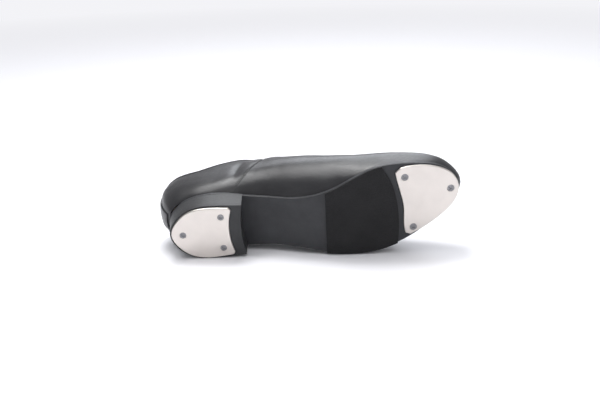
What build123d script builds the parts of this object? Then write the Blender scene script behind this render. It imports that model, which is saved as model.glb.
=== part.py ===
from build123d import *
import os

# Left tap shoe, slip-on pattern, standing on its heel tap and the ball of its sole.
# +X points to the toe, +Y to the outer (lateral) side, +Z up.
# Origin: centre of the heel tap's wearing face, on the ground. Millimetres.

# Driving dimensions
SOLE_LENGTH_FRONT = 236.5     # heel tap centre to the sole's tip
SEAT_BACK = -32.5             # back of the heel seat
SEAT_HALF_WIDTH = 28.8
HEEL_HEIGHT = 22.0            # ground to the underside of the outsole at the heel
BREAST_X = 38.0               # front face of the heel
BALL_BOTTOM = 1.8             # underside of the outsole at the ball
TAP_THICKNESS = 2.0
LIFT_THICKNESS = 4.0
PATCH_THICKNESS = 1.8
OUTSOLE = 4.2                 # outsole thickness
MARGIN = 1.5                  # turned-in upper edge, shank and filler share this layer
INSOLE = 2.0
SOCK = 1.0
LEATHER = 1.6                 # upper leather
WALL = 3.4                    # leather, stiffener and lining together
GAP = 0.3                     # running gap between the flexing toe part and the rest
SCREW_SHANK_R = 1.6
HEAD_GAP = 0.25               # clearance round a screw in its tap
TOE_HEAD_R = 3.2
HEEL_HEAD_R = 2.9
SIDE = 90.0                   # half of a cutting block across the shoe

TOE_SCREWS = [(187.6, -41.0), (229.0, -24.4), (193.2, 10.2)]
HEEL_SCREWS = [(18.1, -15.6), (17.6, 16.2), (-18.4, 0.2)]
HEEL_NAILS = [(26, -16), (26, 16), (4, -19), (4, 19), (-22, 0)]

# Sections across the upper, heel to toe: station x, then y of the lower edge (inner side,
# outer side), y of the widest line (inner, outer), and z of lower edge, widest line and crown.
SECTIONS = [
    (-43.5, -4.0, 4.0, -9.0, 9.0, 50.0, 60.0, 74.0),
    (-41.5, -7.5, 7.5, -14.5, 14.5, 42.0, 58.0, 92.0),
    (-37.0, -10.0, 10.0, -20.0, 20.0, 31.0, 55.0, 104.0),
    (-30.0, -13.0, 13.0, -25.0, 25.0, 25.8, 51.0, 110.0),
    (-20.0, -20.0, 20.0, -29.0, 29.0, 25.7, 48.0, 114.0),
    (-5.0, -25.0, 25.0, -32.3, 32.0, 25.7, 46.0, 118.0),
    (15.0, -27.0, 27.0, -35.0, 33.0, 25.7, 47.0, 121.0),
    (38.0, -25.0, 26.0, -38.0, 34.0, 25.6, 49.0, 118.0),
    (58.0, -23.5, 25.5, -41.2, 34.0, 22.6, 49.0, 104.0),
    (78.0, -23.5, 25.0, -44.2, 34.0, 15.9, 47.0, 92.0),
    (100.0, -26.5, 26.5, -47.2, 35.2, 8.7, 42.0, 80.5),
    (122.0, -33.0, 29.8, -49.6, 36.5, 5.7, 36.0, 70.0),
    (145.0, -43.0, 30.5, -51.6, 36.0, 5.5, 30.5, 61.0),
    (170.0, -51.0, 26.5, -53.6, 31.5, 7.0, 27.0, 54.0),
    (190.0, -51.0, 18.5, -52.8, 24.0, 9.2, 26.5, 50.0),
    (208.0, -48.6, 8.0, -50.2, 13.5, 11.3, 26.0, 46.0),
    (222.0, -43.8, -3.0, -45.6, 2.0, 13.0, 25.0, 41.5),
    (232.0, -36.0, -13.5, -38.2, -9.0, 14.2, 24.5, 37.0),
    (238.0, -29.0, -19.5, -30.6, -16.5, 16.5, 23.5, 32.0),
    (240.5, -26.0, -21.5, -27.0, -20.5, 19.0, 23.0, 28.0),
]
MID_X = 100.0                 # the inner forms shrink towards this section
HALF_LENGTH = 142.0
SQUARENESS = 0.87             # exponent that turns an ellipse into a fuller form

TOPLINE = [(-60, 74), (-40, 74), (-25, 74.5), (-12, 73), (0, 74.5), (14, 80), (29, 85),
           (42, 89.5), (52, 95), (60, 103), (66, 125)]
SOLE_LINE = [(BREAST_X, HEEL_HEIGHT), (62, 17.8), (85, 9.8), (106, 3.7), (128, BALL_BOTTOM)]
TOE_LINE = [(148, BALL_BOTTOM), (180, 4.4), (210, 7.9), (250, 13.0)]
OUTSOLE_OUTLINE = [
    (SEAT_BACK, 0), (-28.5, -12.6), (-15, -23.7), (5, -28.5), (24, -28), (45, -24.6), (79, -24),
    (101, -27.5), (122, -34.6), (142, -44.8), (160, -52.4), (182, -54), (209, -50.8),
    (225, -44), (234, -33.6), (SOLE_LENGTH_FRONT, -23.3), (232, -14), (224, -5.6), (212, 6),
    (199, 15.4), (180, 25), (160, 30.4), (138, 32.2), (111, 29.8), (93, 27.2), (70, 26),
    (45, 27), (24, 28), (5, 28.5), (-15, 23.7), (-28.5, 12.6)]
TOE_TAP_BACK = [(179, -46.4), (182.6, -27), (185.2, -10), (184.6, 6), (185.6, 15.6)]
TOE_TAP_FRONT = [(190.4, 17.6), (201, 12.8), (219, 1.6), (231, -9.6), (235.8, -19),
                 (235.4, -31), (229, -41), (215, -48.6), (198, -51.6), (184, -50.6)]
# The room inside the turned-in edge of the upper: station x, then y on the inner and outer side
MARGIN_ROOM = [(-6, -10, 10), (20, -13, 13), (60, -10.5, 11.5), (100, -12.5, 13), (140, -29, 19),
               (175, -38, 14), (205, -35, -5)]
MARGIN_ROOM_BACK, MARGIN_ROOM_FRONT = (-16, 0), (221, -24)
PATCH_FRONT = [(162, -70), (168, -52), (176, -34), (180, -12), (180, 10), (176, 40), (172, 70)]


def crown_points(row, inset):
    """Points over the crown of one section, inner edge to outer edge, as (y, z)."""
    x, low_in, low_out, wide_in, wide_out, z_low, z_wide, z_top = row
    middle = (wide_in + wide_out) / 2
    points = []
    for side, low, wide in ((-1, low_in, wide_in), (1, low_out, wide_out)):
        reach = abs(wide - middle) - inset
        tuck = abs(low - middle) - inset
        up = z_top - inset - z_wide
        half = [(middle + side * tuck, z_low - 0.25 * inset),
                (middle + side * (tuck + 0.72 * (reach - tuck)), z_low + 0.45 * (z_wide - z_low)),
                (middle + side * reach, z_wide)]
        for cosine, sine in ((0.891, 0.454), (0.707, 0.707), (0.454, 0.891)):
            half.append((middle + side * reach * cosine ** SQUARENESS,
                         z_wide + up * sine ** SQUARENESS))
        points.append(half)
    inner, outer = points
    return inner + [(middle, z_top - inset)] + outer[::-1]


def form(inset):
    """Closed form of the upper, pulled in by the inset all round."""
    shrink = (HALF_LENGTH - inset) / HALF_LENGTH
    with BuildPart() as body:
        for row in SECTIONS:
            x = MID_X + (row[0] - MID_X) * shrink
            points = crown_points(row, min(inset, 0.55 * (row[4] - row[3]) / 2))
            with BuildSketch(Plane(origin=(x, 0, 0), x_dir=(0, 1, 0), z_dir=(1, 0, 0))):
                with BuildLine():
                    crown = Spline(points)
                    Line(crown @ 1, crown @ 0)
                make_face()
        loft(ruled=True)
    return body.part


def sole_path(rise):
    """The sole's underside in side view, raised by a height."""
    Line((-70, HEEL_HEIGHT + rise), (BREAST_X, HEEL_HEIGHT + rise))
    waist = Spline([(x, z + rise) for x, z in SOLE_LINE], tangents=[(1, 0), (1, 0)])
    Line(waist @ 1, (TOE_LINE[0][0], TOE_LINE[0][1] + rise))
    Spline([(x, z + rise) for x, z in TOE_LINE], tangents=[(1, 0), (1, 0.13)])


def layer(low, high, x_from=-70.0, x_to=250.0):
    """Block across the shoe between two heights above the sole's underside."""
    with BuildPart() as block:
        with BuildSketch(Plane.XZ):
            with BuildLine():
                sole_path(low)
                sole_path(high)
                Line((-70, HEEL_HEIGHT + low), (-70, HEEL_HEIGHT + high))
                Line((250, TOE_LINE[-1][1] + low), (250, TOE_LINE[-1][1] + high))
            make_face()
        extrude(amount=SIDE, both=True)
        with BuildSketch(Plane.XZ):
            with BuildLine():
                Polyline((x_from, -10), (x_to, -10), (x_to, 200), (x_from, 200), close=True)
            make_face()
        extrude(amount=SIDE, both=True, mode=Mode.INTERSECT)
    return block.part


def under_topline(drop):
    """Block across the shoe below the foot opening's edge, lowered by a drop."""
    with BuildPart() as block:
        with BuildSketch(Plane.XZ):
            with BuildLine():
                edge = Spline([(x, z - drop) for x, z in TOPLINE])
                Polyline(edge @ 1, (260, 125), (260, -20), (-60, -20), edge @ 0)
            make_face()
        extrude(amount=SIDE, both=True)
    return block.part


def side_block(*points):
    """Block across the shoe with an outline given in side view."""
    with BuildPart() as block:
        with BuildSketch(Plane.XZ):
            with BuildLine():
                Polyline(*points, close=True)
            make_face()
        extrude(amount=SIDE, both=True)
    return block.part


def plan_block(y_from, y_to, x_from, x_to):
    """Tall block with a rectangular plan."""
    with BuildPart() as block:
        with BuildSketch():
            with Locations(((x_from + x_to) / 2, (y_from + y_to) / 2)):
                Rectangle(x_to - x_from, y_to - y_from)
        extrude(amount=150)
    return block.part


def margin_room(inset):
    """Tall block that fills the room inside the upper's turned-in edge, pulled in by an inset."""
    inner = [(x, y_in + inset) for x, y_in, y_out in MARGIN_ROOM]
    outer = [(x, y_out - inset) for x, y_in, y_out in MARGIN_ROOM]
    with BuildPart() as block:
        with BuildSketch():
            with BuildLine():
                Spline([MARGIN_ROOM_BACK] + inner + [MARGIN_ROOM_FRONT] + outer[::-1],
                       periodic=True)
            make_face()
        extrude(amount=60)
    return block.part


def finish(name, builder):
    """Label a finished piece and write its file."""
    builder.part.label = name
    export_step(builder.part, "parts/" + name + ".step")


def heel_outline(half_width, back, front, hollow):
    """Plan of the heel: a round back and a front hollowed by a depth, as one closed face."""
    rear = [(front, -0.94 * half_width), (13, -half_width), (-13, -0.86 * half_width),
            (back + 5.5, -0.5 * half_width), (back, 0)]
    mirrored = [(x, -y) for x, y in rear[-2::-1]]
    with BuildSketch() as plan:
        with BuildLine():
            Spline(rear + mirrored)
            ThreePointArc(rear[0], (front - hollow, 0), (front, 0.94 * half_width))
        make_face()
    return plan.sketch


def screw(x, y, z_face, head_r, length):
    """One countersunk screw, its head flush with the tap and a cross recess in it."""
    head_depth = 1.5
    with BuildPart() as body:
        with BuildSketch(Plane.XY.offset(z_face)):
            with Locations((x, y)):
                Circle(head_r)
        extrude(amount=0.5)
        with BuildSketch(Plane.XY.offset(z_face + 0.5)):
            with Locations((x, y)):
                Circle(head_r)
        with BuildSketch(Plane.XY.offset(z_face + head_depth)):
            with Locations((x, y)):
                Circle(SCREW_SHANK_R)
        loft()
        with BuildSketch(Plane.XY.offset(z_face + head_depth)):
            with Locations((x, y)):
                Circle(SCREW_SHANK_R)
        extrude(amount=length - head_depth)
        with BuildSketch(Plane.XY.offset(z_face)):
            with Locations((x, y)):
                Rectangle(1.25 * head_r, 0.34 * head_r, rotation=35)
                Rectangle(1.25 * head_r, 0.34 * head_r, rotation=125)
        extrude(amount=0.9, mode=Mode.SUBTRACT)
    return body.part


def pocket(x, y, z_face, head_r, slack, length):
    """The hole that one screw fills, with some slack around it."""
    with BuildPart() as body:
        with BuildSketch(Plane.XY.offset(z_face - 1)):
            with Locations((x, y)):
                Circle(head_r + slack)
        extrude(amount=1.5)
        with BuildSketch(Plane.XY.offset(z_face + 0.5)):
            with Locations((x, y)):
                Circle(head_r + slack)
        with BuildSketch(Plane.XY.offset(z_face + 1.5)):
            with Locations((x, y)):
                Circle(SCREW_SHANK_R + slack)
        loft()
        with BuildSketch(Plane.XY.offset(z_face + 1.5)):
            with Locations((x, y)):
                Circle(SCREW_SHANK_R + slack)
        extrude(amount=length - 1.5 + slack)
    return body.part


def toe_face(x):
    """Height of the toe tap's wearing face at a station, for its screws."""
    (x0, z0), (x1, z1), (x2, z2) = TOE_LINE[0], TOE_LINE[1], TOE_LINE[2]
    if x < x2:
        return z1 + (z2 - z1) * (x - x1) / (x2 - x1) - TAP_THICKNESS - GAP + 0.15
    return z2 + 0.127 * (x - x2) - TAP_THICKNESS - GAP + 0.15


os.makedirs("parts", exist_ok=True)

outer_form = form(0)
leather_back = form(LEATHER)
cavity_form = form(WALL)

# --- Outsole and heel -------------------------------------------------------------------------
toe_screw_set = [screw(x, y, toe_face(x), TOE_HEAD_R, 5.2) for x, y in TOE_SCREWS]
heel_screw_set = [screw(x, y, 0.0, HEEL_HEAD_R, 13.0) for x, y in HEEL_SCREWS]

with BuildPart() as heel_nails:
    for x, y in HEEL_NAILS:
        with BuildSketch(Plane.XY.offset(9)):
            with Locations((x, y)):
                Circle(1.1)
        extrude(amount=HEEL_HEIGHT + OUTSOLE - 9)
        with BuildSketch(Plane.XY.offset(HEEL_HEIGHT + OUTSOLE - 0.8)):
            with Locations((x, y)):
                Circle(2.4)
        extrude(amount=0.8)
finish("heel_nails", heel_nails)

with BuildPart() as outsole:
    with BuildSketch():
        with BuildLine():
            Spline(OUTSOLE_OUTLINE, periodic=True)
        make_face()
    extrude(amount=60)
    add(layer(0, OUTSOLE), mode=Mode.INTERSECT)
    for (x, y) in TOE_SCREWS:
        add(pocket(x, y, toe_face(x), TOE_HEAD_R, GAP, 5.2), mode=Mode.SUBTRACT)
    add(heel_nails.part, mode=Mode.SUBTRACT)
finish("outsole", outsole)

with BuildPart() as heel:
    with BuildSketch(Plane.XY.offset(TAP_THICKNESS)):
        add(heel_outline(SEAT_HALF_WIDTH - 1.6, SEAT_BACK + 2.0, BREAST_X, 2.6))
    with BuildSketch(Plane.XY.offset(HEEL_HEIGHT)):
        add(heel_outline(SEAT_HALF_WIDTH - 0.2, SEAT_BACK + 0.1, BREAST_X, 2.6))
    loft()
    for part in heel_screw_set:
        add(part, mode=Mode.SUBTRACT)
    add(heel_nails.part, mode=Mode.SUBTRACT)

with BuildPart() as heel_top_lift:
    add(heel.part)
    split(bisect_by=Plane.XY.offset(TAP_THICKNESS + LIFT_THICKNESS), keep=Keep.BOTTOM)
finish("heel_top_lift", heel_top_lift)

with BuildPart() as heel_block:
    add(heel.part)
    split(bisect_by=Plane.XY.offset(TAP_THICKNESS + LIFT_THICKNESS), keep=Keep.TOP)
finish("heel_block", heel_block)

with BuildPart() as heel_tap:
    with BuildSketch():
        add(heel_outline(25.3, -29.0, 28.8, 4.2))
    extrude(amount=TAP_THICKNESS)
    fillet(heel_tap.edges().filter_by(Axis.Z), radius=3.0)
    fillet(heel_tap.faces().sort_by(Axis.Z)[0].edges(), radius=1.2)
    for x, y in HEEL_SCREWS:
        add(pocket(x, y, 0.0, HEEL_HEAD_R, HEAD_GAP, 13.0), mode=Mode.SUBTRACT)
finish("heel_tap", heel_tap)

with BuildPart() as heel_tap_screws:
    for part in heel_screw_set:
        add(part)
finish("heel_tap_screws", heel_tap_screws)

with BuildPart() as toe_tap:
    with BuildSketch(Plane.XY.offset(-10)):
        with BuildLine():
            back = Spline(TOE_TAP_BACK)
            front = Spline(TOE_TAP_FRONT)
            Line(back @ 1, front @ 0)
            Line(front @ 1, back @ 0)
        make_face()
    extrude(amount=40)
    add(layer(-TAP_THICKNESS - GAP, -GAP), mode=Mode.INTERSECT)
    fillet(toe_tap.edges().filter_by(Axis.Z), radius=1.6)
    fillet(toe_tap.faces().sort_by(Axis.Z)[0].edges(), radius=0.9)
    for x, y in TOE_SCREWS:
        add(pocket(x, y, toe_face(x), TOE_HEAD_R, HEAD_GAP, 5.2), mode=Mode.SUBTRACT)
finish("toe_tap", toe_tap)

with BuildPart() as toe_tap_screws:
    for part in toe_screw_set:
        add(part)
finish("toe_tap_screws", toe_tap_screws)

with BuildPart() as sole_patch:
    with BuildSketch(Plane.XY.offset(-5)):
        with BuildLine():
            Polyline(PATCH_FRONT[0], (116, -70), (111, 70), PATCH_FRONT[-1])
            Spline(PATCH_FRONT)
        make_face()
    extrude(amount=40)
    with BuildSketch(Plane.XY.offset(-5)):
        with BuildLine():
            Spline(OUTSOLE_OUTLINE, periodic=True)
        make_face()
    extrude(amount=40, mode=Mode.INTERSECT)
    add(layer(-PATCH_THICKNESS, 0), mode=Mode.INTERSECT)
finish("sole_patch", sole_patch)

# --- Between outsole and insole -----------------------------------------------------------------
with BuildPart() as shank_rivets:
    for x, z in ((5, HEEL_HEIGHT + OUTSOLE), (80, 11.3 + OUTSOLE)):
        with BuildSketch(Plane.XY.offset(z - 2)):
            with Locations((x, 0)):
                Circle(2.0)
        extrude(amount=12)
    add(layer(OUTSOLE, OUTSOLE + MARGIN + INSOLE), mode=Mode.INTERSECT)
finish("shank_rivets", shank_rivets)

with BuildPart() as steel_shank:
    with BuildSketch():
        with Locations((50, 0)):
            SlotOverall(108, 13)
    extrude(amount=60)
    add(layer(OUTSOLE, OUTSOLE + 1.2), mode=Mode.INTERSECT)
    add(shank_rivets.part, mode=Mode.SUBTRACT)
finish("steel_shank", steel_shank)

with BuildPart() as cork_filler:
    add(margin_room(GAP))
    add(layer(OUTSOLE + GAP, OUTSOLE + MARGIN - GAP, 152, 218), mode=Mode.INTERSECT)
finish("cork_filler", cork_filler)

with BuildPart() as insole_board:
    add(cavity_form)
    add(layer(OUTSOLE + MARGIN, OUTSOLE + MARGIN + INSOLE), mode=Mode.INTERSECT)
    add(shank_rivets.part, mode=Mode.SUBTRACT)
finish("insole_board", insole_board)

with BuildPart() as sock_liner:
    add(cavity_form)
    add(layer(OUTSOLE + MARGIN + INSOLE, OUTSOLE + MARGIN + INSOLE + SOCK), mode=Mode.INTERSECT)
finish("sock_liner", sock_liner)

# --- Upper ---------------------------------------------------------------------------------------
BINDING = 2.4                 # height of the binding on the topline
GORE = [(36, 130), (52, 130), (57, 68), (50, 63)]
SEAM_FOOT = (30, -20)         # where the side seam meets the sole

with BuildPart() as shell:
    add(outer_form)
    add(leather_back, mode=Mode.SUBTRACT)
    add(layer(OUTSOLE, 150), mode=Mode.INTERSECT)
    add(under_topline(BINDING), mode=Mode.INTERSECT)

with BuildPart() as margin:
    add(leather_back)
    add(layer(OUTSOLE, OUTSOLE + MARGIN), mode=Mode.INTERSECT)
    add(margin_room(0), mode=Mode.SUBTRACT)

with BuildPart() as vamp:
    add(shell.part)
    add(margin.part)
    add(side_block(GORE[1], GORE[2], GORE[3], SEAM_FOOT, (260, -20), (260, 130)),
        mode=Mode.INTERSECT)
finish("vamp", vamp)

for name, y_from, y_to in (("quarter_medial", -SIDE, 0), ("quarter_lateral", 0, SIDE)):
    with BuildPart() as quarter:
        add(shell.part)
        add(margin.part)
        add(side_block(GORE[0], GORE[3], SEAM_FOOT, (-80, -20), (-80, 130)), mode=Mode.INTERSECT)
        add(plan_block(y_from, y_to, -80, 120), mode=Mode.INTERSECT)
    finish(name, quarter)

for name, y_from, y_to in (("gore_medial", -SIDE, 0), ("gore_lateral", 0, SIDE)):
    with BuildPart() as gore:
        add(shell.part)
        add(side_block(*GORE), mode=Mode.INTERSECT)
        add(plan_block(y_from, y_to, -80, 120), mode=Mode.INTERSECT)
    finish(name, gore)

with BuildPart() as back_strip:
    add(form(-0.9))
    add(outer_form, mode=Mode.SUBTRACT)
    add(layer(OUTSOLE + 1.0, 150), mode=Mode.INTERSECT)
    add(under_topline(BINDING), mode=Mode.INTERSECT)
    add(plan_block(-7.5, 7.5, -60, -20), mode=Mode.INTERSECT)
finish("back_strip", back_strip)

# --- Stiffeners and linings ----------------------------------------------------------------------
with BuildPart() as heel_counter:
    add(leather_back)
    add(form(LEATHER + 1.0), mode=Mode.SUBTRACT)
    add(layer(OUTSOLE + MARGIN, 70), mode=Mode.INTERSECT)
    add(side_block((-80, -20), (14, -20), (10, 45), (-10, 62), (-80, 64)), mode=Mode.INTERSECT)
finish("heel_counter", heel_counter)

with BuildPart() as toe_puff:
    add(form(LEATHER + GAP))
    add(form(LEATHER + GAP + 0.8), mode=Mode.SUBTRACT)
    add(layer(OUTSOLE + MARGIN + GAP, 150, 192, 236.5), mode=Mode.INTERSECT)
finish("toe_puff", toe_puff)

with BuildPart() as lining:
    add(leather_back)
    add(cavity_form, mode=Mode.SUBTRACT)
    add(layer(OUTSOLE + MARGIN, 150), mode=Mode.INTERSECT)
    add(under_topline(BINDING), mode=Mode.INTERSECT)

with BuildPart() as quarter_lining:
    add(lining.part)
    add(side_block(GORE[1], GORE[2], GORE[3], SEAM_FOOT, (-80, -20), (-80, 130)),
        mode=Mode.INTERSECT)
    add(heel_counter.part, mode=Mode.SUBTRACT)
finish("quarter_lining", quarter_lining)

with BuildPart() as puff_room:
    add(leather_back)
    add(form(LEATHER + 2 * GAP + 0.8), mode=Mode.SUBTRACT)
    add(layer(0, 150, 192 - GAP, 236.5 + GAP), mode=Mode.INTERSECT)

with BuildPart() as vamp_lining:
    add(lining.part)
    add(side_block(GORE[1], GORE[2], GORE[3], SEAM_FOOT, (260, -20), (260, 130)),
        mode=Mode.INTERSECT)
    add(puff_room.part, mode=Mode.SUBTRACT)
finish("vamp_lining", vamp_lining)

with BuildPart() as topline_binding:
    add(outer_form)
    add(cavity_form, mode=Mode.SUBTRACT)
    add(under_topline(0), mode=Mode.INTERSECT)
    add(under_topline(BINDING), mode=Mode.SUBTRACT)
finish("topline_binding", topline_binding)
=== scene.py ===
import bpy
import bmesh
import math
import numpy as np
from mathutils import Vector, Matrix, noise


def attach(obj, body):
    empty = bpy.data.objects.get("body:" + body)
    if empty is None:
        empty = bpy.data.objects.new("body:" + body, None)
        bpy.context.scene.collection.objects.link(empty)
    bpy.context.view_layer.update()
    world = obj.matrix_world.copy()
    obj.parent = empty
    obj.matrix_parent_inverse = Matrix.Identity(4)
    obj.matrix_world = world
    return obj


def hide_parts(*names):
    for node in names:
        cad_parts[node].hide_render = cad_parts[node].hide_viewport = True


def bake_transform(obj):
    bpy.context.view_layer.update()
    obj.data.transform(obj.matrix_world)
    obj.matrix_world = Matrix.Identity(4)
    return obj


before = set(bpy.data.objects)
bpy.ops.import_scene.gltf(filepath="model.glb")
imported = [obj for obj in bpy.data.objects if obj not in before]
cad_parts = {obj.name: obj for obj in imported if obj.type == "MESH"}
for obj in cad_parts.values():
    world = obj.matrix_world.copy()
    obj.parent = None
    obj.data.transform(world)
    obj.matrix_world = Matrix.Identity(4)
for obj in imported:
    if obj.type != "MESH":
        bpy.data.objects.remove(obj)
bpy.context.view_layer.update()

# Left tap shoe. +X toe, +Y outer side, +Z up; millimetres here, metres in the scene.
MM = 0.001
SOLE_THICK = 4.2
SOLE_ROUND = 1.1       # rounding of the outsole's edges
LEATHER = 1.6
LINING = 1.2
LINING_DEPTH = 1.9     # from the leather's outside to the lining
COUNTER = 0.8
COUNTER_DEPTH = 2.1
WIDE_V = 0.36          # share of a column that lies below the upper's widest line
GORE_V = 0.60          # share of a column where the gore ends
BEND_START, BEND_END = (0.108, 0, 0), (0.176, 0, 0)

# One row per station round the upper, heel to toe: the widest line (x, y inner, y outer, z),
# the sole edge (x, y inner, y outer) and the opening or crown (x, y inner, y outer, z);
# the last number is 0 beside the foot opening and 1 where the leather closes over the foot.
STATIONS = [
    (-43.6, 0, 0, 60, -32.4, 0, 0, -40.6, 0, 0, 74.5, 0),
    (-42.3, -10.5, 10.5, 59, -31, -9, 9, -39.4, -9.2, 9.2, 74.5, 0),
    (-38, -19, 19, 56, -29, -13.3, 13.3, -35.6, -16.6, 16.6, 74.3, 0),
    (-30, -25, 25, 51, -23, -18.6, 18.6, -28.5, -22.4, 22.4, 74.3, 0),
    (-20, -29, 29, 48, -14.5, -22, 22, -19.5, -26.2, 26.2, 73.8, 0),
    (-5, -32.3, 32, 46, -2, -26, 26, -5, -29.4, 29, 73.7, 0),
    (15, -35, 33, 47, 15, -27, 27, 15, -31.6, 29.6, 80.4, 0),
    (38, -38, 34, 49, 38, -24.6, 26, 36, -31, 27, 87.2, 0),
    (54, -40.6, 34, 49, 54, -23.6, 25.4, 51, -25, 18, 91.5, 0.35),
    (64, -42.2, 34, 48.8, 63, -23.4, 25.2, 58.5, -14, 7, 95.5, 0.8),
    (70, -43.1, 34, 48.3, 69, -23.4, 25.1, 61.5, -4.4, -4.4, 97.0, 1),
    (78, -44.2, 34, 47, 78, -23.5, 25, 75, -4.9, -4.9, 91.5, 1),
    (100, -47.2, 35.2, 42, 100, -26.3, 26.8, 100, -6, -6, 80.5, 1),
    (122, -49.6, 36.5, 36, 122, -33.2, 29.8, 122, -6.5, -6.5, 70, 1),
    (145, -51.6, 36, 30.5, 144, -43.6, 30.8, 145, -7.8, -7.8, 61, 1),
    (170, -53.6, 31.5, 27, 168, -51.4, 27, 168, -10.8, -10.8, 54.5, 1),
    (190, -52.8, 24, 26.5, 188, -51.8, 19.5, 186, -14, -14, 50.6, 1),
    (208, -50.2, 13.5, 26, 206, -49, 9.5, 199, -17, -17, 47.8, 1),
    (222, -45.4, 2, 25, 219, -44.4, -1.5, 207, -19.5, -19.5, 45.8, 1),
    (232, -37.6, -9, 24.5, 228.5, -36.6, -12, 212, -21.2, -21.2, 44.4, 1),
    (238, -30, -16.8, 23.5, 233.5, -30, -17.5, 215, -22.2, -22.2, 43.4, 1),
    (239.6, -23.5, -23.5, 23, 234.6, -23.5, -23.5, 216, -22.6, -22.6, 43, 1),
]
TOE_U = len(STATIONS) - 1
THROAT_U = 10                            # the station where the leather first closes
COUNTER_U = 3                            # the station where the heel counter ends
CROWN_LINE = np.array(STATIONS[THROAT_U:], float)
SEAM_LOW, SEAM_MID = 6.6, 8.35           # the side seam's station at the sole and at the gore
GORE_BACK, GORE_FRONT = 7.35, 8.55       # the gore's edges at the topline
HEEL_PLY = 0.08                          # how far the quarters stand out past the vamp
SIDES = ((0, "medial"), (1, "lateral"))
SOLE_LINE = [(-70, 22), (20, 22), (38, 22), (62, 17.8), (85, 9.8), (106, 3.7), (128, 1.8),
             (148, 1.8), (180, 4.4), (210, 7.9), (250, 13)]
SOLE_EDGE_IN = [(-32.5, 0), (-31.3, -7), (-28.5, -12.6), (-15, -23.7), (5, -28.5), (24, -28),
                (45, -24.6), (79, -24), (101, -27.5), (122, -34.6), (142, -44.8), (160, -52.4),
                (182, -54), (209, -50.8), (225, -44), (234, -33.6), (236.5, -23.3)]
SOLE_EDGE_OUT = [(-32.5, 0), (-31.3, 7), (-28.5, 12.6), (-15, 23.7), (5, 28.5), (24, 28),
                 (45, 27), (70, 26), (93, 27.2), (111, 29.8), (138, 32.2), (160, 30.4),
                 (180, 25), (199, 15.4), (212, 6), (224, -5.6), (232, -14), (236.5, -23.3)]


# --- Curves ---------------------------------------------------------------------------------------
def catmull(table, u):
    """Smooth curve through the rows of a table; u counts rows."""
    table = np.asarray(table, float)
    last = len(table) - 1
    u = np.clip(np.asarray(u, float), 0, last)
    i = np.minimum(u.astype(int), last - 1)
    t = (u - i)[..., None]
    p0 = table[np.maximum(i - 1, 0)]
    p1, p2 = table[i], table[i + 1]
    p3 = table[np.minimum(i + 2, last)]
    return 0.5 * (2 * p1 + (p2 - p0) * t + (2 * p0 - 5 * p1 + 4 * p2 - p3) * t * t
                  + (3 * p1 - p0 - 3 * p2 + p3) * t ** 3)


def dense_curve(table, steps=24):
    return catmull(table, np.linspace(0, len(table) - 1, (len(table) - 1) * steps + 1))


SOLE_DENSE = dense_curve(SOLE_LINE)
EDGE_IN_DENSE = dense_curve(SOLE_EDGE_IN)
EDGE_OUT_DENSE = dense_curve(SOLE_EDGE_OUT)


def sole_z(x):
    """Height of the outsole's underside."""
    return np.interp(x, SOLE_DENSE[:, 0], SOLE_DENSE[:, 1])


def soft_folds(points):
    """How far the worn leather stands out or falls in, in millimetres."""
    out = np.zeros(len(points))
    for n, (x, y, z) in enumerate(points):
        slow = noise.noise(Vector((x / 34, y / 26, z / 24)))
        fine = noise.noise(Vector((x / 11, y / 13, z / 9 + 7)))
        out[n] = 0.55 * slow + 0.12 * fine
        # The soft waist sinks beside the counter's edge, and the ball shows flex creases
        out[n] -= 1.1 * math.exp(-((x - 33 - 0.18 * (z - 55)) / 4.2) ** 2
                                 - ((z - 58) / 16) ** 2)
        out[n] += 0.6 * math.exp(-((x - 45 - 0.2 * (z - 55)) / 6.0) ** 2
                                 - ((z - 56) / 20) ** 2)
        crease = math.sin((x - 0.35 * z) / 2.6) * math.exp(-((x - 150) / 14) ** 2)
        out[n] += 0.10 * crease * min(max((z - 34) / 18, 0), 1)
    return out


def upper_points(side, u, v):
    """Points of the upper's outside; side 0 is the inner half, v runs sole edge to opening."""
    row = catmull(STATIONS, u)
    wide = np.stack([row[:, 0], row[:, 1 + side], row[:, 3]], 1)
    foot = np.stack([row[:, 4], row[:, 5 + side], sole_z(row[:, 4]) + SOLE_THICK], 1)
    rim = np.stack([row[:, 7], row[:, 8 + side], row[:, 10]], 1)
    law = np.clip(row[:, 11], 0, 1)[:, None]
    low = np.clip(v / WIDE_V, 0, 1)[:, None] * math.pi / 2
    out = np.sin(low)
    rise = 0.55 * (1 - np.cos(low)) + 0.45 * low * 2 / math.pi
    below = np.concatenate([foot[:, :2] + (wide - foot)[:, :2] * out,
                            foot[:, 2:] + (wide - foot)[:, 2:] * rise], 1)
    top = np.clip((v - WIDE_V) / (1 - WIDE_V), 0, 1)[:, None]
    angle = top * math.pi / 2
    closed_in = 1 - np.cos(angle) ** 0.9
    closed_up = np.sin(angle) ** 0.9
    open_in, open_up = top ** 1.9, top
    pull = law * closed_in + (1 - law) * open_in
    lift = law * closed_up + (1 - law) * open_up
    above = np.concatenate([wide[:, :2] + (rim - wide)[:, :2] * pull,
                            wide[:, 2:] + (rim - wide)[:, 2:] * lift], 1)
    return np.where((v < WIDE_V)[:, None], below, above)


def seam_station(v):
    """Station of the side seam at a share v of the column."""
    t = np.clip(v / GORE_V, 0, 1)
    return SEAM_LOW + (SEAM_MID - SEAM_LOW) * t ** 1.3


def gore_edge(v, end):
    t = np.clip((v - GORE_V) / (1 - GORE_V), 0, 1)
    return SEAM_MID + (end - SEAM_MID) * t


# --- Mesh helpers ---------------------------------------------------------------------------------
def new_object(name, verts, faces, smooth=True):
    mesh = bpy.data.meshes.new(name)
    mesh.from_pydata([tuple(p) for p in verts], [], faces)
    mesh.update()
    obj = bpy.data.objects.new(name, mesh)
    bpy.context.scene.collection.objects.link(obj)
    if smooth:
        mesh.polygons.foreach_set("use_smooth", [True] * len(mesh.polygons))
    return obj


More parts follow.
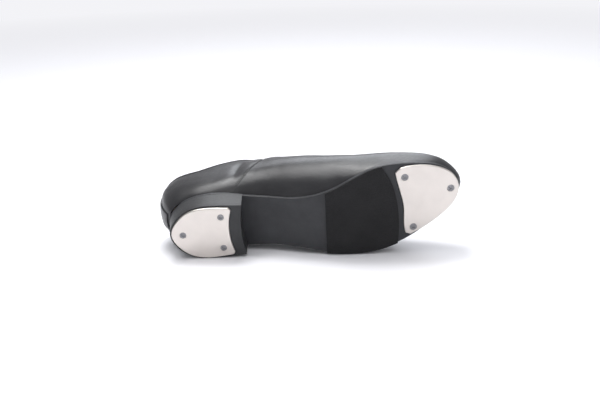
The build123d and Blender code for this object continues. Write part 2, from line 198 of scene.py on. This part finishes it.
def grid_faces(rows, cols, start=0, flip=False):
    faces = []
    for i in range(rows - 1):
        for j in range(cols - 1):
            a = start + i * cols + j
            quad = (a, a + 1, a + cols + 1, a + cols)
            faces.append(quad[::-1] if flip else quad)
    return faces


def weld(obj, distance=0.00002):
    bm = bmesh.new()
    bm.from_mesh(obj.data)
    bmesh.ops.remove_doubles(bm, verts=bm.verts, dist=distance)
    bmesh.ops.recalc_face_normals(bm, faces=bm.faces)
    bm.to_mesh(obj.data)
    bm.free()


def apply_modifiers(obj):
    bpy.context.view_layer.update()
    depsgraph = bpy.context.evaluated_depsgraph_get()
    mesh = bpy.data.meshes.new_from_object(obj.evaluated_get(depsgraph))
    obj.modifiers.clear()
    obj.data = mesh
    mesh.polygons.foreach_set("use_smooth", [True] * len(mesh.polygons))


def outward(obj):
    """Turn the normals so that they point away from the shoe's middle."""
    centre_y, centre_z = -0.005, 0.03
    bm = bmesh.new()
    bm.from_mesh(obj.data)
    bm.normal_update()
    total = 0.0
    for face in bm.faces:
        c = face.calc_center_median()
        inside = Vector((min(max(c.x, 0), 0.2), centre_y, centre_z))
        total += face.normal.dot(c - inside) * face.calc_area()
    if total < 0:
        bmesh.ops.reverse_faces(bm, faces=bm.faces)
    bm.to_mesh(obj.data)
    bm.free()


def skin(name, sides, start, end, v_from, v_to, rows, cols, lift=0.0, thickness=LEATHER):
    """A piece of the upper between two station curves, as a sheet with thickness."""
    verts, faces = [], []
    for side in sides:
        base = len(verts)
        for v in np.linspace(v_from, v_to, rows):
            share = np.linspace(0, 1, cols)
            u0, u1 = start(np.array([v]))[0], end(np.array([v]))[0]
            u = u0 + (u1 - u0) * share
            verts.extend(upper_points(side, u, np.full(cols, v)))
        faces += grid_faces(rows, cols, base, flip=side == 1)
    obj = new_object(name, np.array(verts) * MM, faces)
    weld(obj)
    outward(obj)
    mesh = obj.data
    points = np.array([v.co[:] for v in mesh.vertices]) / MM
    normals = np.array([v.normal[:] for v in mesh.vertices])
    moved = points + normals * (soft_folds(points) + lift)[:, None]
    mesh.vertices.foreach_set("co", (moved * MM).ravel())
    mesh.update()
    solid = obj.modifiers.new("thickness", "SOLIDIFY")
    solid.thickness = thickness * MM
    solid.offset = -1
    bevel = obj.modifiers.new("edge", "BEVEL")
    bevel.width = 0.0003
    bevel.segments = 2
    bevel.angle_limit = math.radians(50)
    apply_modifiers(obj)
    return obj


def closed_ribbon(name, path, width_dirs, profile):
    """Sweep a closed profile (a, b) round a ring whose last point repeats its first."""
    verts, faces = [], []
    count = len(profile)
    for p, (axis_a, axis_b) in zip(path, width_dirs):
        for a, b in profile:
            verts.append(p + axis_a * a + axis_b * b)
    for i in range(len(path) - 1):
        for j in range(count):
            k = (j + 1) % count
            faces.append((i * count + j, i * count + k, (i + 1) * count + k, (i + 1) * count + j))
    obj = new_object(name, np.array(verts) * MM, faces)
    weld(obj)
    return obj


# --- Materials ------------------------------------------------------------------------------------
def material(name, color, rough, metallic=0.0, coat=0.0, sheen=0.0, specular=0.5):
    m = bpy.data.materials.new(name)
    m.use_nodes = True
    nodes, links = m.node_tree.nodes, m.node_tree.links
    shader = nodes["Principled BSDF"]
    shader.inputs["Base Color"].default_value = (*color, 1)
    shader.inputs["Roughness"].default_value = rough
    shader.inputs["Metallic"].default_value = metallic
    shader.inputs["Specular IOR Level"].default_value = specular
    shader.inputs["Coat Weight"].default_value = coat
    shader.inputs["Coat Roughness"].default_value = 0.3
    shader.inputs["Sheen Weight"].default_value = sheen
    coords = nodes.new("ShaderNodeTexCoord")
    return m, nodes, links, shader, coords.outputs["Object"]


def noise_node(nodes, links, where, scale, detail=3.0):
    node = nodes.new("ShaderNodeTexNoise")
    node.inputs["Scale"].default_value = scale
    node.inputs["Detail"].default_value = detail
    links.new(where, node.inputs["Vector"])
    return node.outputs["Fac"]


def vary_color(nodes, links, shader, fac, dark, light):
    ramp = nodes.new("ShaderNodeValToRGB")
    ramp.color_ramp.elements[0].position = 0.3
    ramp.color_ramp.elements[1].position = 0.7
    ramp.color_ramp.elements[0].color = (*dark, 1)
    ramp.color_ramp.elements[1].color = (*light, 1)
    links.new(fac, ramp.inputs["Fac"])
    links.new(ramp.outputs["Color"], shader.inputs["Base Color"])


def vary_rough(nodes, links, shader, fac, low, high):
    span = nodes.new("ShaderNodeMapRange")
    span.inputs["From Min"].default_value = 0.3
    span.inputs["From Max"].default_value = 0.7
    span.inputs["To Min"].default_value = low
    span.inputs["To Max"].default_value = high
    links.new(fac, span.inputs["Value"])
    links.new(span.outputs["Result"], shader.inputs["Roughness"])


def bumps(nodes, links, shader, heights):
    """Stack bump nodes: (height socket, strength, distance in metres)."""
    previous = None
    for height, strength, distance in heights:
        bump = nodes.new("ShaderNodeBump")
        bump.inputs["Strength"].default_value = strength
        bump.inputs["Distance"].default_value = distance
        links.new(height, bump.inputs["Height"])
        if previous is not None:
            links.new(previous.outputs["Normal"], bump.inputs["Normal"])
        previous = bump
    links.new(previous.outputs["Normal"], shader.inputs["Normal"])


def leather_material(name, dark, light, low, high, pore=1500.0, coat=0.12, specular=0.5):
    m, nodes, links, shader, where = material(name, dark, low, coat=coat, specular=specular)
    broad = noise_node(nodes, links, where, 55)
    fine = noise_node(nodes, links, where, 420)
    cells = nodes.new("ShaderNodeTexVoronoi")
    cells.feature = "DISTANCE_TO_EDGE"
    cells.inputs["Scale"].default_value = pore
    links.new(where, cells.inputs["Vector"])
    vary_color(nodes, links, shader, broad, dark, light)
    vary_rough(nodes, links, shader, fine, low, high)
    bumps(nodes, links, shader, [(cells.outputs["Distance"], 0.22, 0.0001),
                                 (fine, 0.3, 0.0004)])
    return m


def rubber_material():
    m, nodes, links, shader, where = material("rubber_patch", (0.02, 0.02, 0.021), 0.75,
                                              specular=0.3)
    grain = nodes.new("ShaderNodeTexVoronoi")
    grain.inputs["Scale"].default_value = 900
    links.new(where, grain.inputs["Vector"])
    fine = noise_node(nodes, links, where, 1300, 2)
    broad = noise_node(nodes, links, where, 40)
    vary_color(nodes, links, shader, broad, (0.008, 0.008, 0.009), (0.013, 0.013, 0.014))
    vary_rough(nodes, links, shader, fine, 0.62, 0.85)
    bumps(nodes, links, shader, [(grain.outputs["Distance"], 0.7, 0.0004), (fine, 0.4, 0.0002)])
    return m


def metal_material(name, color, low, high, scratch):
    m, nodes, links, shader, where = material(name, color, low, metallic=1.0)
    stretch = nodes.new("ShaderNodeMapping")
    stretch.inputs["Scale"].default_value = (0.25, 3.0, 1.0)
    links.new(where, stretch.inputs["Vector"])
    lines = noise_node(nodes, links, stretch.outputs["Vector"], 700, 2)
    broad = noise_node(nodes, links, where, 60)
    vary_color(nodes, links, shader, broad, tuple(0.93 * c for c in color), color)
    vary_rough(nodes, links, shader, broad, low, high)
    bumps(nodes, links, shader, [(lines, scratch, 0.00001)])
    return m


def woven_material(name, dark, light, pitch, rough=0.85, direction="X"):
    m, nodes, links, shader, where = material(name, dark, rough, sheen=0.25)
    wave = nodes.new("ShaderNodeTexWave")
    wave.bands_direction = direction
    wave.inputs["Scale"].default_value = pitch
    wave.inputs["Distortion"].default_value = 0.6
    wave.inputs["Detail"].default_value = 2
    links.new(where, wave.inputs["Vector"])
    fine = noise_node(nodes, links, where, 900)
    vary_color(nodes, links, shader, fine, dark, light)
    bumps(nodes, links, shader, [(wave.outputs["Fac"], 0.6, 0.0003), (fine, 0.4, 0.0002)])
    return m


LOOKS = {
    "upper": leather_material("upper_leather", (0.010, 0.010, 0.012), (0.018, 0.018, 0.020),
                              0.30, 0.42),
    "sole": leather_material("sole_leather", (0.021, 0.022, 0.025), (0.030, 0.031, 0.035),
                             0.42, 0.55, pore=900, coat=0.0, specular=0.4),
    "heel": leather_material("heel_coating", (0.026, 0.027, 0.029), (0.034, 0.035, 0.037),
                             0.40, 0.50, pore=700, coat=0.0, specular=0.42),
    "lift": leather_material("heel_lift", (0.022, 0.023, 0.025), (0.030, 0.031, 0.033),
                             0.42, 0.52, pore=700, coat=0.0, specular=0.4),
    "rubber": rubber_material(),
    "tap": metal_material("tap_metal", (0.70, 0.655, 0.615), 0.28, 0.34, 0.1),
    "screw": metal_material("screw_zinc", (0.27, 0.27, 0.28), 0.26, 0.38, 0.2),
    "steel": metal_material("steel", (0.50, 0.51, 0.53), 0.3, 0.45, 0.3),
    "elastic": woven_material("elastic", (0.010, 0.010, 0.011), (0.020, 0.020, 0.022), 260),
    "binding": woven_material("binding_cloth", (0.012, 0.012, 0.013), (0.022, 0.022, 0.024), 420),
    "lining": woven_material("lining_cloth", (0.24, 0.225, 0.205), (0.33, 0.31, 0.285), 500,
                             direction="Z"),
    "sock": woven_material("sock", (0.05, 0.05, 0.05), (0.08, 0.08, 0.08), 450),
    "board": leather_material("fibre_board", (0.30, 0.23, 0.16), (0.42, 0.33, 0.24), 0.8, 0.9),
    "cork": leather_material("cork", (0.36, 0.25, 0.15), (0.52, 0.38, 0.24), 0.8, 0.9, pore=400),
    "thread": woven_material("thread", (0.020, 0.020, 0.022), (0.035, 0.035, 0.038), 1500),
}


def dress(obj, look):
    obj.data.materials.clear()
    obj.data.materials.append(LOOKS[look])


def place(obj, look, replaced=(), bends=False):
    """Give a new piece its material and hide the nodes it replaces; with bends its transform is baked,
    otherwise it is attached to the root body.
    """
    dress(obj, look)
    if bends:
        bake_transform(obj)
    else:
        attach(obj, "root")
    if replaced:
        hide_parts(*replaced)


# --- Camera ---------------------------------------------------------------------------------------
def make_camera():
    """The camera faces the sole and sees the inner side above it."""
    turn, tilt = math.radians(4.7), math.radians(27)
    distance = 1100.0
    aside, above = 11.0, 5.5
    right = Vector((math.cos(turn), math.sin(turn), 0))
    up = Vector((math.cos(tilt) * math.sin(turn), -math.cos(tilt) * math.cos(turn),
                 math.sin(tilt)))
    back = right.cross(up)
    aim = Vector((101.9, -15.4, 10))
    stand = aim - right * aside + up * above + back * distance
    camera = bpy.data.cameras.new("camera")
    camera.lens = 72
    camera.sensor_width = 36
    obj = bpy.data.objects.new("camera", camera)
    bpy.context.scene.collection.objects.link(obj)
    axes = Matrix((right, up, back)).transposed().to_4x4()
    obj.matrix_world = Matrix.Translation(stand * MM) @ axes
    bpy.context.scene.camera = obj
    return right, up, back


right, up, back = make_camera()


# --- Sole, patch and heel ---------------------------------------------------------------------------
def make_outsole():
    """Outsole with softly rounded edges, as sections across the shoe."""
    x_back, x_tip = SOLE_EDGE_IN[0][0], SOLE_EDGE_IN[-1][0]
    columns, across = 150, 14
    corner = [(0.62, 0.16), (0.93, 0.55), (1, SOLE_ROUND), (1, SOLE_THICK - SOLE_ROUND),
              (0.93, SOLE_THICK - 0.55), (0.62, SOLE_THICK - 0.16)]
    share = 0.5 - 0.5 * np.cos(np.linspace(0, math.pi, columns))
    verts = []
    for x in x_back + (x_tip - x_back) * share:
        y_in = np.interp(x, EDGE_IN_DENSE[:, 0], EDGE_IN_DENSE[:, 1])
        y_out = np.interp(x, EDGE_OUT_DENSE[:, 0], EDGE_OUT_DENSE[:, 1])
        z = sole_z(x)
        middle, half = (y_in + y_out) / 2, (y_out - y_in) / 2
        edge = min(SOLE_ROUND, half)
        for t in np.linspace(-1, 1, across):
            verts.append((x, middle + (half - edge) * t, z))
        for out, rise in corner:
            verts.append((x, middle + half - edge + edge * out, z + rise))
        for t in np.linspace(1, -1, across):
            verts.append((x, middle + (half - edge) * t, z + SOLE_THICK))
        for out, rise in corner[::-1]:
            verts.append((x, middle - half + edge - edge * out, z + rise))
    ring = 2 * (across + len(corner))
    faces = []
    for i in range(columns - 1):
        for j in range(ring):
            k = (j + 1) % ring
            faces.append((i * ring + j, i * ring + k, (i + 1) * ring + k, (i + 1) * ring + j))
    obj = new_object("outsole_shaped", np.array(verts) * MM, faces)
    weld(obj)
    place(obj, "sole", ["outsole"], bends=True)


def bendable_copy(node, look):
    """A copy of a CAD piece with enough cuts across it to follow the flexing sole."""
    obj = bpy.data.objects.new(node + "_flex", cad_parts[node].data.copy())
    bpy.context.scene.collection.objects.link(obj)
    bm = bmesh.new()
    bm.from_mesh(obj.data)
    bmesh.ops.remove_doubles(bm, verts=bm.verts, dist=0.000005)
    cut_pitch = 0.004
    for x in np.arange(BEND_START[0] - cut_pitch, BEND_END[0] + 0.006, cut_pitch):
        geometry = bm.verts[:] + bm.edges[:] + bm.faces[:]
        bmesh.ops.bisect_plane(bm, geom=geometry, plane_co=(x, 0, 0), plane_no=(1, 0, 0))
    bm.to_mesh(obj.data)
    bm.free()
    smooth_by_angle(obj)
    place(obj, look, [node], bends=True)


def smooth_by_angle(obj, limit=30):
    mesh = obj.data
    mesh.polygons.foreach_set("use_smooth", [True] * len(mesh.polygons))
    bm = bmesh.new()
    bm.from_mesh(mesh)
    for edge in bm.edges:
        sharp = len(edge.link_faces) == 2 and edge.calc_face_angle() > math.radians(limit)
        edge.smooth = not sharp
    bm.to_mesh(mesh)
    bm.free()


make_outsole()
bendable_copy("sole_patch", "rubber")
bendable_copy("insole_board", "board")
bendable_copy("sock_liner", "sock")

# --- Upper ------------------------------------------------------------------------------------------
def constant(value):
    return lambda v: np.full(np.shape(v), float(value))


def back_edge(v):
    return gore_edge(v, GORE_BACK) if v[0] > GORE_V else seam_station(v)


def front_edge(v):
    return gore_edge(v, GORE_FRONT) if v[0] > GORE_V else seam_station(v)


def soften_crown(obj, passes=30):
    """Even out the leather along the crown of the toe, where the columns run together."""
    mesh = obj.data
    count = len(mesh.vertices)
    points = np.empty(count * 3)
    mesh.vertices.foreach_get("co", points)
    points = points.reshape(-1, 3)
    ends = np.empty(len(mesh.edges) * 2, int)
    mesh.edges.foreach_get("vertices", ends)
    ends = ends.reshape(-1, 2)
    x, y, z = (points / MM).T
    middle = np.interp(x, CROWN_LINE[:, 7], CROWN_LINE[:, 8])
    near = np.clip((x - 72) / 25, 0, 1) * np.clip(1.4 - np.abs(y - middle) / 16, 0, 1)
    weight = np.where(z > 33, near, 0)[:, None]
    degree = np.bincount(ends.ravel(), minlength=count)[:, None]
    for _ in range(passes):
        total = np.zeros_like(points)
        np.add.at(total, ends[:, 0], points[ends[:, 1]])
        np.add.at(total, ends[:, 1], points[ends[:, 0]])
        points = points + 0.5 * weight * (total / degree - points)
    mesh.vertices.foreach_set("co", points.ravel())
    mesh.update()


vamp = skin("vamp_shaped", (0, 1), front_edge, constant(TOE_U), 0, 1, 64, 230)
soften_crown(vamp)
place(vamp, "upper", ["vamp"], bends=True)
for side, tag in SIDES:
    quarter = skin("quarter_" + tag + "_shaped", (side,), constant(0), back_edge, 0, 1, 64, 110,
                   lift=HEEL_PLY)
    place(quarter, "upper", ["quarter_" + tag])
    gore = skin("gore_" + tag + "_shaped", (side,),
                lambda v: gore_edge(v, GORE_BACK) - 0.06, lambda v: gore_edge(v, GORE_FRONT) + 0.05,
                GORE_V, 1, 24, 16, lift=-0.5, thickness=1.0)
    place(gore, "elastic", ["gore_" + tag])

lining_front = skin("vamp_lining_shaped", (0, 1), lambda v: front_edge(v) - 0.02, constant(TOE_U),
                    0.02, 1, 40, 150, lift=-LINING_DEPTH, thickness=LINING)
place(lining_front, "lining", ["vamp_lining"], bends=True)
lining_back = skin("quarter_lining_shaped", (0, 1), constant(0), lambda v: front_edge(v) - 0.02,
                   0.02, 1, 40, 90, lift=-LINING_DEPTH, thickness=LINING)
place(lining_back, "lining", ["quarter_lining"])
# The counter is held inside the lining, so that none of it shows
counter = skin("heel_counter_shaped", (0, 1), constant(0), constant(COUNTER_U), 0.03, 0.7, 30, 50,
               lift=-COUNTER_DEPTH, thickness=COUNTER)
place(counter, "board", ["heel_counter"])


def opening_path(v, count=90):
    """A line round the foot opening at a share v of the columns, from the throat and back to it."""
    u = np.linspace(THROAT_U, 0, count)
    inner = upper_points(0, u, np.full(count, v))
    outer = upper_points(1, u[::-1], np.full(count, v))
    return np.concatenate([inner, outer[1:]])


def rim_rises(path, below):
    """The way the leather rises to the rim; at the throat, where both sides meet, it is backward."""
    count = len(path)
    throat_rise, held, fading = np.array([-0.93, 0, 0.36]), 3, 14
    rises = path - below[:-1]
    rises[0] = rises[0] + path[0] - below[-1]
    rises /= np.linalg.norm(rises, axis=1)[:, None]
    from_throat = np.minimum(np.arange(count), count - np.arange(count))
    blend = np.clip(1 - (from_throat - held) / fading, 0, 1)[:, None]
    return rises * (1 - blend) + throat_rise * blend


def make_binding():
    """Cloth binding rolled over the rim, as one closed ring."""
    sides, half_thick, half_wide, set_down, set_in = 14, 1.9, 2.1, 1.6, 1.2
    path = opening_path(1.0)[:-1]
    rises = rim_rises(path, opening_path(0.96))
    count = len(path)
    frames, centres = [], []
    for n in range(count):
        along = path[(n + 1) % count] - path[n - 1]
        along = along / np.linalg.norm(along)
        rise = rises[n] - along * np.dot(rises[n], along)
        rise = rise / np.linalg.norm(rise)
        across = np.cross(rise, along)
        frames.append((across, rise))
        inside = np.array([min(path[n][0], 40.0), -3.0, path[n][2] - 25])
        inward = across if np.dot(across, inside - path[n]) > 0 else -across
        centres.append(path[n] + inward * set_in)
    profile = []
    for k in range(sides):
        a = 2 * math.pi * k / sides
        profile.append((half_thick * abs(math.cos(a)) ** 0.8 * math.copysign(1, math.cos(a)),
                        half_wide * math.sin(a) - set_down))
    frames.append(frames[0])
    centres.append(centres[0])
    obj = closed_ribbon("topline_binding_shaped", np.array(centres), frames, profile)
    place(obj, "binding", ["topline_binding"])


make_binding()


def make_back_strip():
    """A strip over the heel seam, widest at the sole, that ends under the binding."""
    rows, cols = 40, 9
    verts = []
    for v in np.linspace(0.05, 0.935, rows):
        reach = 0.95 - 0.25 * v
        u = np.abs(np.linspace(-reach, reach, cols))
        inner = upper_points(0, u, np.full(cols, v))
        outer = upper_points(1, u, np.full(cols, v))
        half = cols // 2
        verts.extend(np.concatenate([inner[:half], outer[half:]]))
    obj = new_object("back_strip_shaped", np.array(verts) * MM, grid_faces(rows, cols))
    outward(obj)
    solid = obj.modifiers.new("thickness", "SOLIDIFY")
    solid.thickness = 0.0013
    solid.offset = 0.9
    subdivide = obj.modifiers.new("round", "SUBSURF")
    subdivide.levels = 1
    apply_modifiers(obj)
    place(obj, "upper", ["back_strip"])


make_back_strip()


def stitch_row(name, path, normals):
    """A row of short thread stitches lying on a path."""
    pitch, length, radius, sides = 2.4, 1.7, 0.22, 6
    taper = ((0, 0.45), (0.2, 1), (0.8, 1), (1, 0.45))
    steps = np.linalg.norm(np.diff(path, axis=0), axis=1)
    run = np.concatenate([[0], np.cumsum(steps)])
    verts, faces = [], []
    for s in np.arange(pitch, run[-1] - pitch, pitch):
        ends = []
        for d in (s - length / 2, s + length / 2):
            ends.append(np.array([np.interp(d, run, path[:, k]) for k in range(3)]))
        lift = np.array([np.interp(s, run, normals[:, k]) for k in range(3)])
        along = ends[1] - ends[0]
        along = along / np.linalg.norm(along)
        cross = np.cross(along, lift)
        cross = cross / np.linalg.norm(cross)
        base = len(verts)
        for t, fat in taper:
            centre = ends[0] + (ends[1] - ends[0]) * t + lift * radius * (0.2 + 0.5 * fat)
            for k in range(sides):
                a = 2 * math.pi * k / sides
                verts.append(centre + (cross * math.cos(a) + lift * math.sin(a)) * radius * fat)
        for ring in range(len(taper) - 1):
            for k in range(sides):
                m = (k + 1) % sides
                a, b = base + ring * sides, base + (ring + 1) * sides
                faces.append((a + k, a + m, b + m, b + k))
        far_end = base + (len(taper) - 1) * sides
        faces.append(tuple(base + k for k in range(sides))[::-1])
        faces.append(tuple(far_end + k for k in range(sides)))
    return new_object(name, np.array(verts) * MM, faces)


def seam_stitches():
    """Two rows of stitches along the back edge of each side seam and gore."""
    for side, tag in SIDES:
        v = np.linspace(0.1, 0.99, 120)
        edge = np.array([back_edge(np.array([t]))[0] for t in v])
        for number, setback in enumerate((0.05, 0.13)):
            path = upper_points(side, edge - setback, v)
            beside = upper_points(side, edge - setback - 0.05, v)
            along = np.gradient(path, axis=0)
            normal = np.cross(along, beside - path) * (1 if side == 0 else -1)
            normal = normal / np.linalg.norm(normal, axis=1)[:, None]
            middle = np.array([40, -4, 45])
            if np.mean(np.sum(normal * (path - middle), axis=1)) < 0:
                normal = -normal
            folds = (soft_folds(path) + HEEL_PLY)[:, None]
            obj = stitch_row("seam_stitches_%s_%d" % (tag, number + 1), path + normal * folds,
                             normal)
            place(obj, "thread")


seam_stitches()

# --- CAD pieces that keep their shape ----------------------------------------------------------------
KEPT = {"toe_tap": "tap", "heel_tap": "tap", "toe_tap_screws": "screw", "heel_tap_screws": "screw",
        "heel_block": "heel", "heel_top_lift": "lift", "heel_nails": "steel",
        "shank_rivets": "steel", "steel_shank": "steel", "cork_filler": "cork",
        "toe_puff": "board"}
for node, look in KEPT.items():
    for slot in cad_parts[node].material_slots:
        slot.material = LOOKS[look]


# --- Floor, light and world --------------------------------------------------------------------------
PALE = (0.90, 0.90, 0.93, 1)


def floor_material():
    """Pale and plain. Its back is clear, and away from the shoe it fades to the background's tone."""
    fade_start, fade_end = 0.7, 1.8
    m = bpy.data.materials.new("floor")
    m.use_nodes = True
    nodes, links = m.node_tree.nodes, m.node_tree.links
    shader = nodes["Principled BSDF"]
    shader.inputs["Base Color"].default_value = (0.86, 0.86, 0.89, 1)
    shader.inputs["Roughness"].default_value = 0.55
    far = nodes.new("ShaderNodeEmission")
    far.inputs["Color"].default_value = PALE
    clear = nodes.new("ShaderNodeBsdfTransparent")
    geometry = nodes.new("ShaderNodeNewGeometry")
    reach = nodes.new("ShaderNodeVectorMath")
    reach.operation = "LENGTH"
    links.new(geometry.outputs["Position"], reach.inputs[0])
    fade = nodes.new("ShaderNodeMapRange")
    fade.inputs["From Min"].default_value = fade_start
    fade.inputs["From Max"].default_value = fade_end
    links.new(reach.outputs["Value"], fade.inputs["Value"])
    front = nodes.new("ShaderNodeMixShader")
    links.new(fade.outputs["Result"], front.inputs["Fac"])
    links.new(shader.outputs["BSDF"], front.inputs[1])
    links.new(far.outputs["Emission"], front.inputs[2])
    both = nodes.new("ShaderNodeMixShader")
    links.new(geometry.outputs["Backfacing"], both.inputs["Fac"])
    links.new(front.outputs["Shader"], both.inputs[1])
    links.new(clear.outputs["BSDF"], both.inputs[2])
    links.new(both.outputs["Shader"], nodes["Material Output"].inputs["Surface"])
    return m


def make_floor():
    """The shoe lies on its outer side, so the floor touches that side."""
    half_size = 14.0
    normal = Vector((0.05, -0.98, 0.18)).normalized()
    resting = list(vamp.data.vertices) + list(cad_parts["heel_block"].data.vertices)
    lowest = min(normal.dot(v.co) for v in resting)
    side = normal.cross(Vector((0, 0, 1))).normalized()
    ahead = normal.cross(side)
    centre = Vector((0.1, 0, 0.03))
    centre = centre + normal * (lowest - normal.dot(centre))
    corners = [centre + side * a * half_size + ahead * b * half_size
               for a, b in ((-1, -1), (1, -1), (1, 1), (-1, 1))]
    obj = new_object("floor", corners, [(0, 1, 2, 3)], smooth=False)
    if obj.data.polygons[0].normal.dot(normal) < 0:
        obj.data.flip_normals()
    obj.data.materials.append(floor_material())
    obj.visible_shadow = False


def area_light(name, direction, distance, size, energy, color=(1, 1, 1)):
    """A square lamp at a distance from the shoe, turned to it; sizes in metres, energy in watts."""
    light = bpy.data.lights.new(name, "AREA")
    light.size = size
    light.energy = energy
    light.color = color
    obj = bpy.data.objects.new(name, light)
    bpy.context.scene.collection.objects.link(obj)
    aim = Vector((0.1, -0.01, 0.03))
    obj.location = aim + direction.normalized() * distance
    obj.rotation_euler = (aim - obj.location).to_track_quat("-Z", "Y").to_euler()


make_floor()
area_light("key", Vector((-0.25, -1.0, 0.15)), 1.5, 0.9, 11)
area_light("gloss", Vector((-0.06, -0.9, 0.42)), 1.3, 0.45, 8)
area_light("sole_fill", back * 1.0 + up * 0.55 + right * 0.3, 1.8, 1.3, 8)
area_light("rim", Vector((0.1, -0.55, 1.0)), 1.4, 0.8, 7, (0.92, 0.95, 1))
area_light("outer_fill", Vector((-0.4, 1.0, 0.5)), 1.6, 1.2, 22)


def make_world():
    """Soft light all round; the camera sees the backdrop in the far floor's tone."""
    world = bpy.data.worlds.new("world")
    bpy.context.scene.world = world
    world.use_nodes = True
    nodes, links = world.node_tree.nodes, world.node_tree.links
    light = nodes["Background"]
    light.inputs["Color"].default_value = (0.93, 0.93, 0.96, 1)
    light.inputs["Strength"].default_value = 0.5
    backdrop = nodes.new("ShaderNodeBackground")
    backdrop.inputs["Color"].default_value = PALE
    seen = nodes.new("ShaderNodeLightPath")
    either = nodes.new("ShaderNodeMixShader")
    links.new(seen.outputs["Is Camera Ray"], either.inputs["Fac"])
    links.new(light.outputs[0], either.inputs[1])
    links.new(backdrop.outputs[0], either.inputs[2])
    links.new(either.outputs[0], nodes["World Output"].inputs[0])


make_world()
bpy.context.scene.view_settings.view_transform = "Standard"
